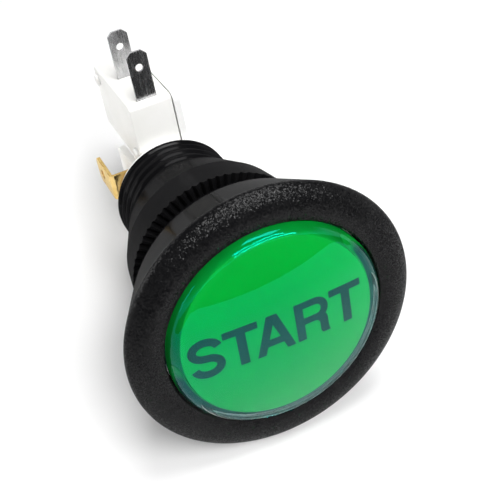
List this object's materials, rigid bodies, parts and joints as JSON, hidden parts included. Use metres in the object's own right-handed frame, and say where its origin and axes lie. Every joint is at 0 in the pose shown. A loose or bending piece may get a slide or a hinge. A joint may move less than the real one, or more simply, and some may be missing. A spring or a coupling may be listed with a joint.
{
  "type": "illuminated push button",
  "caption": "Round illuminated panel push button: domed clear lens over a green legend, black bezel and threaded barrel, serrated nut, lamp holder and snap-action switch.",
  "frame": {"origin": "centre of the flat face behind the bell that bears on the front of the panel", "axes": "+Y along the button's axis, from the lens to the switch; +Z is the top of the legend; +X completes the set"},
  "size_m": [0.06, 0.0989, 0.0654],
  "materials": {
    "housing_black": "black moulded plastic, fine leather grain on the bezel, smooth behind it",
    "nut_black": "black moulded plastic, satin",
    "lens_clear": "clear polished plastic",
    "legend_green": "translucent green plastic with a dark printed word",
    "plunger_white": "white moulded plastic",
    "spring_steel": "bright spring wire",
    "holder_white": "white translucent nylon",
    "bulb_glass": "clear glass",
    "brass": "stamped sheet brass",
    "terminal_steel": "dark plated sheet metal",
    "case_ivory": "pale moulded plastic",
    "contact_silver": "silver alloy",
    "blade_copper": "copper alloy spring strip",
    "pin_red": "moulded plastic"
  },
  "bodies": {
    "housing": {"bezel_housing": "housing_black", "return_spring": "spring_steel", "lamp_holder": "holder_white", "lamp_bulb": "bulb_glass", "lamp_terminal_left": "brass", "lamp_terminal_right": "brass", "switch_case": "case_ivory", "switch_cover": "case_ivory", "common_terminal": "terminal_steel", "normally_open_terminal": "terminal_steel", "normally_closed_terminal": "terminal_steel", "open_contact": "contact_silver", "closed_contact": "contact_silver"},
    "button": {"lens_cap": "lens_clear", "legend_plate": "legend_green", "plunger": "plunger_white"},
    "switch_plunger": {"switch_pin": "pin_red"},
    "blade": {"contact_blade": "blade_copper", "moving_contact": "contact_silver"},
    "nut": {"mounting_nut": "nut_black"}
  },
  "joints": [
    {"name": "button_press", "type": "slide", "parent": "housing", "child": "button", "axis": [0, 1, 0], "range_m": [0, 0.004], "stiffness_N_per_m": 200, "springref_m": -0.007, "deforming": ["return_spring"]},
    {"name": "pin_lift", "type": "slide", "parent": "housing", "child": "switch_plunger", "axis": [0, 0, 1], "range_m": [0, 0.001]},
    {"name": "blade_swing", "type": "hinge", "parent": "housing", "child": "blade", "pos_m": [0, 0.0425, 0.0155], "axis": [1, 0, 0], "range_deg": [0, 5]},
    {"name": "nut_run", "type": "slide", "parent": "housing", "child": "nut", "axis": [0, 1, 0], "range_m": [-0.0052, 0.013]}
  ],
  "couplings": [
    {"joint": "pin_lift", "follows": "button_press", "ratio": 0.25},
    {"joint": "blade_swing", "follows": "button_press", "rad_per_m": 21.685}
  ]
}
